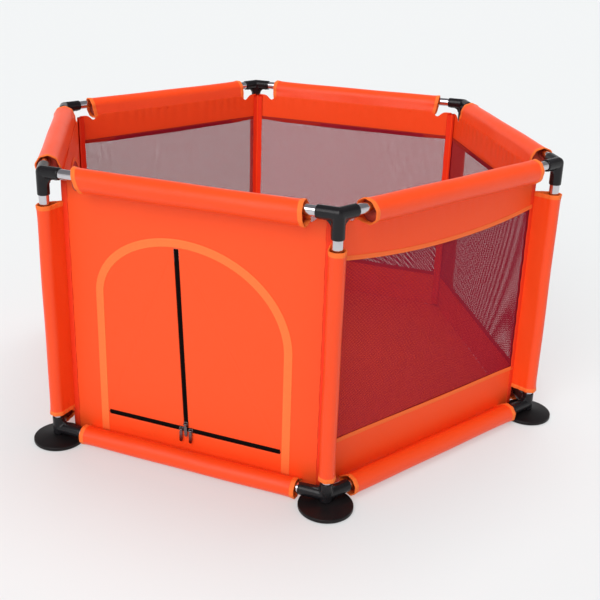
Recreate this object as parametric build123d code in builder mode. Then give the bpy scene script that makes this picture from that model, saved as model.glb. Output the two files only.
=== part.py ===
from build123d import *
import os
from math import atan2, cos, degrees, hypot, radians, sin

os.makedirs("parts", exist_ok=True)

# A six-sided knock-down playpen. Steel tubes plug into moulded corner connectors, foam and
# fabric sleeves cover the tubes, and a fabric bag with net windows hangs inside the frame.
# Millimetres, +Z up, origin on the floor at the centre of the hexagon, door towards -Y.

CORNERS = {"front_right": -60, "right": 0, "back_right": 60,
           "back_left": 120, "left": 180, "front_left": 240}
SIDES = {"front": -90, "front_right": -30, "back_right": 30,
         "back": 90, "back_left": 150, "front_left": 210}
NET_SIDES = ("front_right", "back_right", "back", "back_left")

# Frame
SIDE = 650.0                  # post to post along a side, and also centre to post
SIDE_APOTHEM = SIDE * cos(radians(30))
RAIL_Z = 638.0                # axis of the top rails
BASE_Z = 30.0                 # axis of the bottom rails
TUBE_D = 22.0
TUBE_WALL = 1.0
TUBE_START = 15.0             # a tube's end, from the crossing of the socket axes
SOCKET_D = 27.0
TUBE_CLEAR = 0.1              # between a tube and its socket, all round
TOP_REACH = 44.0              # horizontal arms of a top connector
TOP_DROP = 50.0               # its downward arm
BASE_REACH = 60.0             # horizontal arms of a base connector
BASE_RISE = 30.0              # its upward arm
WEB_T = 9.0                   # gusset between two arms
MOUTH_CHAMFER = 1.0

# Suction feet
FOOT_D = 116.0
FOOT_RIM = 9.0                # height of the upright rim
FOOT_CROWN = 15.5             # height of the disc at its middle
FOOT_LIP = 14.0               # width of the ring that rests on the floor
FOOT_CUP = 4.0                # depth of the hollow under the disc
PEG_D = 12.0
PEG_TOP = 25.0

# Padding: a foam liner inside a fabric sleeve hangs on every rail
CLOTH_T = 1.2
TOP_SLEEVE_D = 50.0
TOP_SLEEVE_START = 70.0       # from the post axis to the sleeve's end
TOP_SLEEVE_SAG = (4.0, 9.0)   # sleeve axis inward of and below the tube axis
BASE_SLEEVE_D = 42.0
BASE_SLEEVE_START = 66.0
BASE_SLEEVE_SAG = (3.0, 5.0)
FOAM_RECESS = 14.0            # foam stops this far inside the sleeve's ends
POST_SLEEVE_D = 33.0
POST_SLEEVE_BORE = 26.0
POST_SLEEVE_LOW = 68.0
POST_SLEEVE_HIGH = 566.0

# Fabric bag
BAG_R = 610.0                 # centre to the bag's corners
BAG_APOTHEM = BAG_R * cos(radians(30))
WALL_T = 1.6
NET_T = 1.0
PIPING_D = 7.0
PIPING_INSET = 3.0            # piping axis inward of the bag's corner
WALL_LOW = 18.0
WALL_HIGH = 616.0
WALL_HALF = BAG_R / 2 - 6.0   # a wall stops short of the corner piping
TOP_BAND_EDGE = 540.0         # lower edge of the top band at the corners
TOP_BAND_SAG = 18.0           # how far that edge hangs lower at mid side
BASE_BAND_EDGE = 126.0
BINDING_W = 10.0
BINDING_T = 0.8
NET_OVERLAP = 8.0             # net sewn behind the bands
MAT_T = 2.0
MAT_R = BAG_R - 6.0

# Door in the front wall: an arch of tape and an inverted T of zips
ARCH_LOW = 24.0
ARCH_HALF = 230.0
ARCH_APEX = (-27.0, 523.0)    # the arch is higher on its left
ARCH_LEFT_SPRING = 372.0
ARCH_RIGHT_SPRING = 307.0
TAPE_W = 19.0
TAPE_T = 1.0
WINDOW_GROW = 32.0            # the window arch runs this far outside the door arch
WINDOW_LOW = 126.0
ZIP_TOP = (-33.0, 501.5)
ZIP_FOOT = (-14.0, 81.0)
ZIP_GAP = 12.0                # between the edges that a zip joins
ZIP_HALF = 208.0
ZIP_T = 2.4
ZIP_PROUD = 0.4
ROW_GAP = 0.3
FOLD_GAP = 0.3

# Zip sliders and their pulls
SLIDER_L = 11.0
SLIDER_W = 9.0
SLIDER_T = 5.0
SLIDER_PROUD = 2.1
SLIDER_Z = 95.5              # upright slider at rest
SLIDER_LEFT_X = -25.5
SLIDER_RIGHT_X = -2.5
LUG_T = 1.0
LUG_GAP = 5.4
PIN_D = 1.8
PIN_CLEAR = 0.08
PIN_OUT = 2.4                 # pin axis in front of the slider's face
KNUCKLE_D = 4.0
KNUCKLE_L = 4.6
PULL_L = 30.0
PULL_W = 7.0
PULL_T = 1.2
PULL_NECK = 4.2               # the tab widens this far below the pin


def polar(radius, angle, z=0.0):
    """A point at a plan radius and angle, or a plan direction when radius is 1."""
    return Vector(radius * cos(radians(angle)), radius * sin(radians(angle)), z)


def wall_plane(angle, apothem=BAG_APOTHEM):
    """Upright plane facing outwards: X runs along the side, Y is the height."""
    return Plane(origin=polar(apothem, angle), x_dir=polar(1, angle + 90),
                 z_dir=polar(1, angle))


def rail_plane(angle, z):
    """Section across a rail at mid side: X points inwards, Y up."""
    return Plane(origin=polar(SIDE_APOTHEM, angle, z), x_dir=polar(-1, angle),
                 z_dir=polar(1, angle + 90))


def write(piece, node):
    """Label a finished piece and write it as its own STEP file."""
    piece.part.label = node
    export_step(piece.part, f"parts/{node}.step")


# ---------------------------------------------------------------- steel tubes
def rails(z):
    """Six round tubes along the sides at one height."""
    with BuildPart() as tubes:
        for angle in SIDES.values():
            with BuildSketch(rail_plane(angle, z)):
                Circle(TUBE_D / 2)
                Circle(TUBE_D / 2 - TUBE_WALL, mode=Mode.SUBTRACT)
            extrude(amount=SIDE / 2 - TUBE_START, both=True)
    return tubes


write(rails(RAIL_Z), "top_rails")
write(rails(BASE_Z), "bottom_rails")

post_low = BASE_Z + TUBE_START
post_high = RAIL_Z - TUBE_START
with BuildPart() as posts:
    with BuildSketch(Plane.XY.offset(post_low)):
        with PolarLocations(SIDE, len(CORNERS)):
            Circle(TUBE_D / 2)
            Circle(TUBE_D / 2 - TUBE_WALL, mode=Mode.SUBTRACT)
    extrude(amount=post_high - post_low)
write(posts, "posts")


# ---------------------------------------------------------------- connectors and feet
def connector(z, reach, riser):
    """Three sockets meeting at the corner on +X; riser is the signed length of the upright."""
    centre = polar(SIDE, 0, z)
    upright = Vector(0, 0, 1 if riser > 0 else -1)
    arms = [(polar(1, turn), reach) for turn in (120, -120)]
    arms.append((upright, abs(riser)))
    with BuildPart() as body:
        with Locations(centre):
            Sphere(SOCKET_D / 2)
        for direction, length in arms:
            with BuildSketch(Plane(origin=centre, z_dir=direction)):
                Circle(SOCKET_D / 2)
            extrude(amount=length)
            mouth = body.faces().filter_by(GeomType.PLANE).sort_by(
                lambda face: face.center().dot(direction))[-1]
            chamfer(mouth.edges(), MOUTH_CHAMFER)
        for direction, length in arms[:2]:
            web = Plane(origin=centre, x_dir=direction, z_dir=direction.cross(upright))
            side, end = SOCKET_D / 2 - 1, 3.0
            near, far = (side, abs(riser) - end), (length - end, side)
            bend = (side + 0.22 * (length - side), side + 0.22 * (abs(riser) - side))
            with BuildSketch(web):
                with BuildLine():
                    Polyline(near, (0, near[1]), (0, 0), (far[0], 0), far)
                    ThreePointArc(far, bend, near)
                make_face()
            extrude(amount=WEB_T / 2, both=True)
        for direction, length in arms:
            socket = Plane(origin=centre + direction * TUBE_START, z_dir=direction)
            with BuildSketch(socket):
                Circle(TUBE_D / 2 + TUBE_CLEAR)
            extrude(amount=length, mode=Mode.SUBTRACT)
    return body


def base_connector():
    """The connector at the floor, with a collar and a hole for the foot's peg below it."""
    collar_z = FOOT_CROWN + 0.2
    with BuildPart() as body:
        add(connector(BASE_Z, BASE_REACH, BASE_RISE).part)
        with BuildSketch(Plane(origin=polar(SIDE, 0, collar_z))):
            Circle(SOCKET_D / 2)
        extrude(amount=BASE_Z - collar_z)
        with BuildSketch(Plane(origin=polar(SIDE, 0, collar_z))):
            Circle(PEG_D / 2 + TUBE_CLEAR)
        extrude(amount=PEG_TOP + 0.3 - collar_z, mode=Mode.SUBTRACT)
    return body


def suction_foot():
    """Round suction foot: flat lip on the floor, hollow cup, conical crown and a peg."""
    rim, lip = FOOT_D / 2, FOOT_D / 2 - FOOT_LIP
    shoulder = SOCKET_D / 2 + 2
    with BuildPart() as foot:
        with BuildSketch(Plane.XZ.shift_origin((SIDE, 0, 0))):
            with BuildLine():
                Line((lip, 0), (rim - 2, 0))
                ThreePointArc((rim - 2, 0), (rim - 0.5, 1), (rim, 3))
                Line((rim, 3), (rim, FOOT_RIM - 2))
                ThreePointArc((rim, FOOT_RIM - 2), (rim - 0.6, FOOT_RIM - 0.6), (rim - 3, FOOT_RIM))
                Polyline((rim - 3, FOOT_RIM), (shoulder, FOOT_CROWN), (PEG_D / 2, FOOT_CROWN),
                         (PEG_D / 2, PEG_TOP), (0, PEG_TOP), (0, FOOT_CUP))
                ThreePointArc((0, FOOT_CUP), (lip / 2, FOOT_CUP * 0.75), (lip, 0))
            make_face()
        revolve(axis=Axis(polar(SIDE, 0), (0, 0, 1)))
    return foot


corner_pieces = {"top_connector": connector(RAIL_Z, TOP_REACH, -TOP_DROP),
                 "base_connector": base_connector(), "suction_foot": suction_foot()}
for corner, angle in CORNERS.items():
    for kind, piece in corner_pieces.items():
        with BuildPart() as placed:
            add(piece.part, rotation=(0, 0, angle))
        write(placed, f"{kind}_{corner}")


# ---------------------------------------------------------------- sleeves and foam
def sleeves(z, diameter, start, sag):
    """Fabric tubes that hang a little low on the rails."""
    with BuildPart() as cloth:
        for angle in SIDES.values():
            with BuildSketch(rail_plane(angle, z)):
                with Locations((sag[0], -sag[1])):
                    Circle(diameter / 2)
                    Circle(diameter / 2 - CLOTH_T, mode=Mode.SUBTRACT)
            extrude(amount=SIDE / 2 - start, both=True)
    return cloth


def foam(z, diameter, start, sag):
    """Foam liners that fill the sleeves round the rails."""
    with BuildPart() as liner:
        for angle in SIDES.values():
            with BuildSketch(rail_plane(angle, z)):
                with Locations((sag[0], -sag[1])):
                    Circle(diameter / 2 - CLOTH_T - 0.2)
                Circle(TUBE_D / 2 + 0.2, mode=Mode.SUBTRACT)
            extrude(amount=SIDE / 2 - start - FOAM_RECESS, both=True)
    return liner


top_padding = (RAIL_Z, TOP_SLEEVE_D, TOP_SLEEVE_START, TOP_SLEEVE_SAG)
base_padding = (BASE_Z, BASE_SLEEVE_D, BASE_SLEEVE_START, BASE_SLEEVE_SAG)
write(sleeves(*top_padding), "top_sleeves")
write(sleeves(*base_padding), "bottom_sleeves")
write(foam(*top_padding), "top_foam")
write(foam(*base_padding), "bottom_foam")

# A post sleeve is wrapped round the post and sewn flat to the bag's corner.
flap_reach = SIDE - (BAG_R - PIPING_INSET + PIPING_D / 2) - 2.0
with BuildPart() as post_sleeves:
    for angle in CORNERS.values():
        with BuildSketch(Plane(origin=polar(SIDE, angle, POST_SLEEVE_LOW),
                               x_dir=polar(1, angle), z_dir=(0, 0, 1))):
            Circle(POST_SLEEVE_D / 2)
            with Locations((-flap_reach, 0)):
                Circle(1.4)
            make_hull()
            Circle(POST_SLEEVE_BORE / 2, mode=Mode.SUBTRACT)
        extrude(amount=POST_SLEEVE_HIGH - POST_SLEEVE_LOW)
write(post_sleeves, "post_sleeves")


# ---------------------------------------------------------------- arch outlines
def arch_outline(grow, low):
    """Closed arch inside BuildLine: two quarter ellipses that share one apex."""
    half, apex_x, apex_z = ARCH_HALF + grow, ARCH_APEX[0], ARCH_APEX[1] + grow
    EllipticalCenterArc((apex_x, ARCH_LEFT_SPRING), half + apex_x,
                        apex_z - ARCH_LEFT_SPRING, start_angle=90, arc_size=90)
    EllipticalCenterArc((apex_x, ARCH_RIGHT_SPRING), half - apex_x,
                        apex_z - ARCH_RIGHT_SPRING, start_angle=0, arc_size=90)
    Polyline((-half, ARCH_LEFT_SPRING), (-half, low), (half, low), (half, ARCH_RIGHT_SPRING))


# ---------------------------------------------------------------- net walls of the bag
for side in NET_SIDES:
    inner_face = wall_plane(SIDES[side], BAG_APOTHEM - WALL_T)
    with BuildPart() as top_band:
        with BuildSketch(inner_face):
            with BuildLine():
                ThreePointArc((-WALL_HALF, TOP_BAND_EDGE), (0, TOP_BAND_EDGE - TOP_BAND_SAG),
                              (WALL_HALF, TOP_BAND_EDGE))
                Polyline((WALL_HALF, TOP_BAND_EDGE), (WALL_HALF, WALL_HIGH),
                         (-WALL_HALF, WALL_HIGH), (-WALL_HALF, TOP_BAND_EDGE))
            make_face()
        extrude(amount=WALL_T)
    write(top_band, f"top_band_{side}")

    with BuildPart() as bottom_band:
        with BuildSketch(inner_face):
            with Locations((0, (WALL_LOW + BASE_BAND_EDGE) / 2)):
                Rectangle(2 * WALL_HALF, BASE_BAND_EDGE - WALL_LOW)
        extrude(amount=WALL_T)
    write(bottom_band, f"bottom_band_{side}")

net_low, net_high = BASE_BAND_EDGE - NET_OVERLAP, TOP_BAND_EDGE + NET_OVERLAP
for side in NET_SIDES + ("front_left",):
    with BuildPart() as net:
        with BuildSketch(wall_plane(SIDES[side], BAG_APOTHEM - WALL_T - NET_T - 0.2)):
            if side in NET_SIDES:
                with Locations((0, (net_low + net_high) / 2)):
                    Rectangle(2 * WALL_HALF, net_high - net_low)
            else:
                with BuildLine():
                    arch_outline(WINDOW_GROW + NET_OVERLAP, WINDOW_LOW - NET_OVERLAP)
                make_face()
        extrude(amount=NET_T)
    write(net, f"net_window_{side}")

with BuildPart() as window_panel:
    with BuildSketch(wall_plane(SIDES["front_left"], BAG_APOTHEM - WALL_T)):
        with Locations((0, (WALL_LOW + WALL_HIGH) / 2)):
            Rectangle(2 * WALL_HALF, WALL_HIGH - WALL_LOW)
        with BuildLine():
            arch_outline(WINDOW_GROW, WINDOW_LOW)
        make_face(mode=Mode.SUBTRACT)
    extrude(amount=WALL_T)
write(window_panel, "arch_window_panel")

with BuildPart() as window_binding:
    with BuildSketch(wall_plane(SIDES["front_left"])):
        with BuildLine():
            arch_outline(WINDOW_GROW + BINDING_W, WINDOW_LOW - BINDING_W)
        make_face()
        with BuildLine():
            arch_outline(WINDOW_GROW, WINDOW_LOW)
        make_face(mode=Mode.SUBTRACT)
    extrude(amount=BINDING_T)
write(window_binding, "arch_window_binding")

with BuildPart() as band_bindings:
    for side in NET_SIDES:
        low, high = TOP_BAND_EDGE, TOP_BAND_EDGE + BINDING_W
        with BuildSketch(wall_plane(SIDES[side])):
            with BuildLine():
                ThreePointArc((-WALL_HALF, low), (0, low - TOP_BAND_SAG), (WALL_HALF, low))
                Line((WALL_HALF, low), (WALL_HALF, high))
                ThreePointArc((WALL_HALF, high), (0, high - TOP_BAND_SAG), (-WALL_HALF, high))
                Line((-WALL_HALF, high), (-WALL_HALF, low))
            make_face()
            with Locations((0, BASE_BAND_EDGE - BINDING_W / 2)):
                Rectangle(2 * WALL_HALF, BINDING_W)
        extrude(amount=BINDING_T)
write(band_bindings, "band_bindings")

with BuildPart() as corner_piping:
    with BuildSketch(Plane.XY.offset(WALL_LOW + 2)):
        with PolarLocations(BAG_R - PIPING_INSET, len(CORNERS)):
            Circle(PIPING_D / 2)
    extrude(amount=WALL_HIGH - WALL_LOW - 4)
write(corner_piping, "corner_piping")

with BuildPart() as floor_mat:
    with BuildSketch(Plane.XY.offset(WALL_LOW - 3)):
        RegularPolygon(MAT_R, len(CORNERS))
    extrude(amount=MAT_T)
write(floor_mat, "floor_mat")


# ---------------------------------------------------------------- door
def zip_x(z):
    """The upright zip leans: its centre line at a height."""
    share = (z - ZIP_FOOT[1]) / (ZIP_TOP[1] - ZIP_FOOT[1])
    return ZIP_FOOT[0] + share * (ZIP_TOP[0] - ZIP_FOOT[0])


door_back = wall_plane(SIDES["front"], BAG_APOTHEM - WALL_T)
half_gap = ZIP_GAP / 2
sill, flap_low = ZIP_FOOT[1] - half_gap, ZIP_FOOT[1] + half_gap
flap_left_outline = [(-ZIP_HALF, flap_low), (zip_x(flap_low) - half_gap, flap_low),
                     (ZIP_TOP[0] - half_gap, ZIP_TOP[1])]
flap_right_outline = [(ZIP_HALF, flap_low), (ZIP_TOP[0] + half_gap, ZIP_TOP[1]),
                      (zip_x(flap_low) + half_gap, flap_low)]

for node, outline in (("door_flap_left", flap_left_outline),
                      ("door_flap_right", flap_right_outline)):
    with BuildPart() as flap:
        with BuildSketch(door_back):
            with BuildLine():
                Polyline(*outline, close=True)
            make_face()
        extrude(amount=WALL_T)
    write(flap, node)

with BuildSketch(door_back) as doorway:
    with BuildLine():
        Polyline((-ZIP_HALF, sill), (ZIP_HALF, sill), (ZIP_HALF, flap_low),
                 (ZIP_TOP[0] + half_gap, ZIP_TOP[1]), (ZIP_TOP[0] - half_gap, ZIP_TOP[1]),
                 (-ZIP_HALF, flap_low), close=True)
    make_face()
    offset(amount=FOLD_GAP)

with BuildPart() as door_panel:
    with BuildSketch(door_back):
        with Locations((0, (WALL_LOW + WALL_HIGH) / 2)):
            Rectangle(2 * WALL_HALF, WALL_HIGH - WALL_LOW)
    extrude(amount=WALL_T)
    extrude(doorway.sketch, amount=WALL_T, mode=Mode.SUBTRACT)
write(door_panel, "door_panel")

with BuildPart() as arch_trim:
    with BuildSketch(wall_plane(SIDES["front"])):
        with BuildLine():
            arch_outline(0, ARCH_LOW)
        make_face()
        with BuildLine():
            arch_outline(-TAPE_W, ARCH_LOW - 1)
        make_face(mode=Mode.SUBTRACT)
    extrude(amount=TAPE_T)
write(arch_trim, "arch_trim")

# ---------------------------------------------------------------- zips
slider_plane = wall_plane(SIDES["front"])
zip_back = wall_plane(SIDES["front"], BAG_APOTHEM + ZIP_PROUD - ZIP_T)
row_w = half_gap - 2 * ROW_GAP
row_low = SLIDER_Z + SLIDER_L / 2 + 2
row_high = ZIP_TOP[1] - 2
left_end, right_start = SLIDER_LEFT_X - SLIDER_L / 2 - 2, SLIDER_RIGHT_X + SLIDER_L / 2 + 2


def zip_row(node, *outlines):
    """One side of a zip: tape and teeth as a flat strip."""
    with BuildPart() as row:
        for outline in outlines:
            with BuildSketch(zip_back):
                with BuildLine():
                    Polyline(*outline, close=True)
                make_face()
            extrude(amount=ZIP_T)
    write(row, node)


def upright_row(sign):
    """Outline of one half of the leaning zip."""
    near, far = sign * ROW_GAP, sign * (ROW_GAP + row_w)
    return [(zip_x(row_low) + near, row_low), (zip_x(row_low) + far, row_low),
            (zip_x(row_high) + far, row_high), (zip_x(row_high) + near, row_high)]


def level_row(x0, x1, sign):
    """Outline of one half of a level zip, above or below its centre line."""
    near, far = ZIP_FOOT[1] + sign * ROW_GAP, ZIP_FOOT[1] + sign * (ROW_GAP + row_w)
    return [(x0, near), (x1, near), (x1, far), (x0, far)]


zip_row("zip_upright_left", upright_row(-1))
zip_row("zip_upright_right", upright_row(1))
zip_row("zip_level_left", level_row(-ZIP_HALF + 1, left_end, 1))
zip_row("zip_level_right", level_row(right_start, ZIP_HALF - 1, 1))
zip_row("zip_level_lower", level_row(-ZIP_HALF + 1, left_end, -1),
        level_row(right_start, ZIP_HALF - 1, -1))


def slider_frame(x, z, lean=0.0):
    """Plane at a slider's centre on the wall's face, turned to its zip."""
    across = Vector(cos(radians(lean)), 0, -sin(radians(lean)))
    return Plane(origin=slider_plane.from_local_coords((x, z, 0)), x_dir=across,
                 z_dir=slider_plane.z_dir)


def slider(node, frame, width, height):
    """Cast body with two lugs on its face and the pin that carries the pull."""
    pin_out = SLIDER_PROUD + PIN_OUT
    lug_x = LUG_GAP / 2 + LUG_T / 2
    with BuildPart() as body:
        with BuildSketch(frame.offset(SLIDER_PROUD - SLIDER_T)):
            RectangleRounded(width, height, 2.0)
        extrude(amount=SLIDER_T)
        chamfer(body.faces().sort_by(Axis.Y)[0].edges(), 0.5)
        for x in (-lug_x, lug_x):
            lug = Plane(origin=frame.from_local_coords((x, 0, 0)), x_dir=frame.z_dir,
                        z_dir=frame.x_dir)
            with BuildSketch(lug):
                with Locations((pin_out, 0)):
                    Circle(KNUCKLE_D / 2)
                with Locations((pin_out / 2, 0)):
                    Rectangle(pin_out, KNUCKLE_D)
            extrude(amount=LUG_T / 2, both=True)
        pin = Plane(origin=frame.from_local_coords((0, 0, pin_out)), x_dir=frame.z_dir,
                    z_dir=frame.x_dir)
        with BuildSketch(pin):
            Circle(PIN_D / 2)
        extrude(amount=lug_x, both=True)
    write(body, node)


def pull(node, frame):
    """Flat tab that hangs from a knuckle round the slider's pin."""
    pin_out = SLIDER_PROUD + PIN_OUT
    pin = Plane(origin=frame.from_local_coords((0, 0, pin_out)), x_dir=frame.z_dir,
                z_dir=frame.x_dir)
    neck_half, tab_half = KNUCKLE_L / 2, PULL_W / 2
    with BuildPart() as tab:
        with BuildSketch(pin):
            Circle(KNUCKLE_D / 2)
        extrude(amount=KNUCKLE_L / 2, both=True)
        with BuildSketch(frame.offset(pin_out)):
            with BuildLine():
                Polyline((tab_half, -PULL_L + 3), (tab_half, -PULL_NECK - 1),
                         (neck_half, -PULL_NECK), (neck_half, 0), (-neck_half, 0),
                         (-neck_half, -PULL_NECK), (-tab_half, -PULL_NECK - 1),
                         (-tab_half, -PULL_L + 3))
                ThreePointArc((-tab_half, -PULL_L + 3), (0, -PULL_L), (tab_half, -PULL_L + 3))
            make_face()
        extrude(amount=PULL_T / 2, both=True)
        with BuildSketch(pin):
            Circle(PIN_D / 2 + PIN_CLEAR)
        extrude(amount=KNUCKLE_L, both=True, mode=Mode.SUBTRACT)
    write(tab, node)


zip_lean = degrees(atan2(ZIP_TOP[0] - ZIP_FOOT[0], ZIP_TOP[1] - ZIP_FOOT[1]))
upright_frame = slider_frame(zip_x(SLIDER_Z), SLIDER_Z, zip_lean)
left_frame = slider_frame(SLIDER_LEFT_X, ZIP_FOOT[1])
right_frame = slider_frame(SLIDER_RIGHT_X, ZIP_FOOT[1])
slider("slider_upright", upright_frame, SLIDER_W, SLIDER_L)
slider("slider_left", left_frame, SLIDER_L, SLIDER_W)
slider("slider_right", right_frame, SLIDER_L, SLIDER_W)
pull("pull_upright", upright_frame)
pull("pull_left", left_frame)
pull("pull_right", right_frame)
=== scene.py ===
import math

import bmesh
import bpy
import numpy as np
from mathutils import Matrix, Vector


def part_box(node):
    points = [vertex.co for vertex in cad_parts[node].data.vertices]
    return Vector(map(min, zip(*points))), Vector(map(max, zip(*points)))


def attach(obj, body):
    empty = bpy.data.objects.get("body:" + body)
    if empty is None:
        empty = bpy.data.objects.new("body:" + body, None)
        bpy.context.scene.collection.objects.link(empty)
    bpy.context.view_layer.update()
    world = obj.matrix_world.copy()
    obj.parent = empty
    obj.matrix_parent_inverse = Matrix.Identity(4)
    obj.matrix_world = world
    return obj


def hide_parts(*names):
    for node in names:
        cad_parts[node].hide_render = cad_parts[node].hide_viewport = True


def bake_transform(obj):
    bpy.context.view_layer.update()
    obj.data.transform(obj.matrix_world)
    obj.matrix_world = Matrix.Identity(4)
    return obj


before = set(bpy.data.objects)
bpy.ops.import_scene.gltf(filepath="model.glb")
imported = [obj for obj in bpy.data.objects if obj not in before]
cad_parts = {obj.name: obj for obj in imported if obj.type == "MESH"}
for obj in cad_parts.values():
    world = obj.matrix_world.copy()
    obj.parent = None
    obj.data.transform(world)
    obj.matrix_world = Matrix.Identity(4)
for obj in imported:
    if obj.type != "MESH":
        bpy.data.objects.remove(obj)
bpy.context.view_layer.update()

# ------------------------------------------------------------------ studio
# A pale floor under an even sky, with a broad soft key nearly from the front and a second
# lamp overhead, tilted a little from behind. The camera stands 1.2 m up, to the door's right.
CAMERA_PLACE = Vector((0.827, -2.134, 1.175))
CAMERA_AZIMUTH, CAMERA_DOWN, CAMERA_ROLL = map(math.radians, (22.08, 20.35, 1.167))
CAMERA_FOCUS = 1.5695          # focal length as a share of the picture's width
CAMERA_SHIFT = (0.05, -0.0833)

back = Vector((math.sin(CAMERA_AZIMUTH) * math.cos(CAMERA_DOWN),
               -math.cos(CAMERA_AZIMUTH) * math.cos(CAMERA_DOWN), math.sin(CAMERA_DOWN)))
level = Vector((math.cos(CAMERA_AZIMUTH), math.sin(CAMERA_AZIMUTH), 0))
steep = back.cross(level)
across = level * math.cos(CAMERA_ROLL) + steep * math.sin(CAMERA_ROLL)
upward = steep * math.cos(CAMERA_ROLL) - level * math.sin(CAMERA_ROLL)
camera = bpy.data.objects.new("camera", bpy.data.cameras.new("camera"))
camera.matrix_world = Matrix.Translation(CAMERA_PLACE) @ Matrix(
    (across, upward, back)).transposed().to_4x4()
camera.data.lens = CAMERA_FOCUS * camera.data.sensor_width
camera.data.shift_x, camera.data.shift_y = CAMERA_SHIFT
bpy.context.scene.collection.objects.link(camera)
bpy.context.scene.camera = camera
bpy.context.scene.view_settings.view_transform = "Standard"

for name, colour, strength, softness, direction in (
        ("key", (1.0, 0.98, 0.975), 1.8, 45, (-0.06, -1.0, 0.8)),
        ("top", (1.0, 0.985, 0.98), 1.8, 36, (-0.02, 0.3, 1.0))):
    lamp = bpy.data.objects.new(name, bpy.data.lights.new(name, "SUN"))
    lamp.data.color, lamp.data.energy, lamp.data.angle = colour, strength, math.radians(softness)
    lamp.rotation_mode = "QUATERNION"
    lamp.rotation_quaternion = Vector(direction).to_track_quat("Z", "Y")
    lamp.visible_glossy = name == "key"
    bpy.context.scene.collection.objects.link(lamp)


class Wire:
    """One output of a shader node. Arithmetic on it adds Math nodes to the same tree."""

    def __init__(self, tree, socket):
        self.tree, self.socket = tree, socket

    def math(self, operation, *values):
        return self.tree.node("ShaderNodeMath", dict(enumerate(values)),
                              {"operation": operation})

    def __add__(self, other): return self.math("ADD", self, other)
    def __radd__(self, other): return self.math("ADD", other, self)
    def __sub__(self, other): return self.math("SUBTRACT", self, other)
    def __rsub__(self, other): return self.math("SUBTRACT", other, self)
    def __mul__(self, other): return self.math("MULTIPLY", self, other)
    def __rmul__(self, other): return self.math("MULTIPLY", other, self)
    def __truediv__(self, other): return self.math("DIVIDE", self, other)
    def __pow__(self, other): return self.math("POWER", self, other)
    def __gt__(self, other): return self.math("GREATER_THAN", self, other)
    def __lt__(self, other): return self.math("LESS_THAN", self, other)
    def sine(self): return self.math("SINE", self)
    def size(self): return self.math("ABSOLUTE", self)
    def part(self): return self.math("FRACT", self)
    def above(self, other): return self.math("MAXIMUM", self, other)


class Tree:
    """A node tree; node() adds a node, sets its settings, then its sockets' values or links."""

    def __init__(self, tree):
        self.tree = tree
        tree.nodes.clear()

    def node(self, kind, sockets=None, settings=None, output=0):
        made = self.tree.nodes.new(kind)
        for setting, value in (settings or {}).items():
            if setting == "stops":
                ramp = made.color_ramp.elements
                while len(ramp) < len(value):
                    ramp.new(0.5)
                for stop, (place, colour) in zip(ramp, value):
                    stop.position, stop.color = place, (*colour, 1)
            else:
                setattr(made, setting, value)
        for key, value in (sockets or {}).items():
            if isinstance(value, Wire):
                self.tree.links.new(value.socket, made.inputs[key])
            else:
                made.inputs[key].default_value = value
        return Wire(self, made.outputs[output]) if len(made.outputs) else made

    def object_place(self):
        """Coordinates fixed to the piece, in metres."""
        return self.node("ShaderNodeTexCoord", output=3)

    def along_across(self):
        """The piece's own UV map as two lengths in metres, along it and across it."""
        uv = self.node("ShaderNodeUVMap", settings={"uv_map": "cloth"})
        return [self.node("ShaderNodeSeparateXYZ", {0: uv}, output=part) for part in (0, 1)]

    def mix(self, share, first, second, blend="MIX"):
        """Two colours mixed by a share."""
        first, second = (c if isinstance(c, Wire) else (*c, 1) for c in (first, second))
        return self.node("ShaderNodeMix", {0: share, 6: first, 7: second},
                         {"data_type": "RGBA", "blend_type": blend}, 2)

    def noise(self, place, scale, detail=2.0, rough=0.5):
        """Noise from 0 to 1 at a scale, in features a metre."""
        return self.node("ShaderNodeTexNoise", {"Vector": place, "Scale": scale,
                                                "Detail": detail, "Roughness": rough})

    def bump(self, height, depth, strength=1.0):
        """A bump of a height from 0 to 1 and a depth in metres."""
        return self.node("ShaderNodeBump", {"Strength": strength, "Distance": depth,
                                            "Height": height})


def material(name):
    """A new material and its empty tree."""
    made = bpy.data.materials.new(name)
    made.use_nodes = True
    return made, Tree(made.node_tree)


def finish_material(tree, base, roughness, normal=None, alpha=None, **fixed):
    """Ends a tree in a Principled shader; fixed are sockets that stay plain numbers."""
    sockets = {"Base Color": base if isinstance(base, Wire) else (*base, 1),
               "Roughness": roughness}
    if normal is not None:
        sockets["Normal"] = normal
    if alpha is not None:
        sockets["Alpha"] = alpha
    sockets.update({key.replace("_", " "): value for key, value in fixed.items()})
    shader = tree.node("ShaderNodeBsdfPrincipled", sockets)
    tree.node("ShaderNodeOutputMaterial", {"Surface": shader})


FLOOR_HALF = 40.0
FLOOR_Z = -0.0005              # just under the feet
floor_paint, tree = material("floor_paint")
finish_material(tree, (0.43, 0.45, 0.453), 0.9, Specular_IOR_Level=0.1,
                Emission_Color=(1, 1, 1, 1), Emission_Strength=0.37)
floor_mesh = bpy.data.meshes.new("studio_floor")
floor_mesh.from_pydata([(x * FLOOR_HALF, y * FLOOR_HALF, FLOOR_Z)
                        for x, y in ((-1, -1), (1, -1), (1, 1), (-1, 1))], [], [(0, 1, 2, 3)])
floor_mesh.materials.append(floor_paint)
studio_floor = bpy.data.objects.new("studio_floor", floor_mesh)
bpy.context.scene.collection.objects.link(studio_floor)

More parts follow.
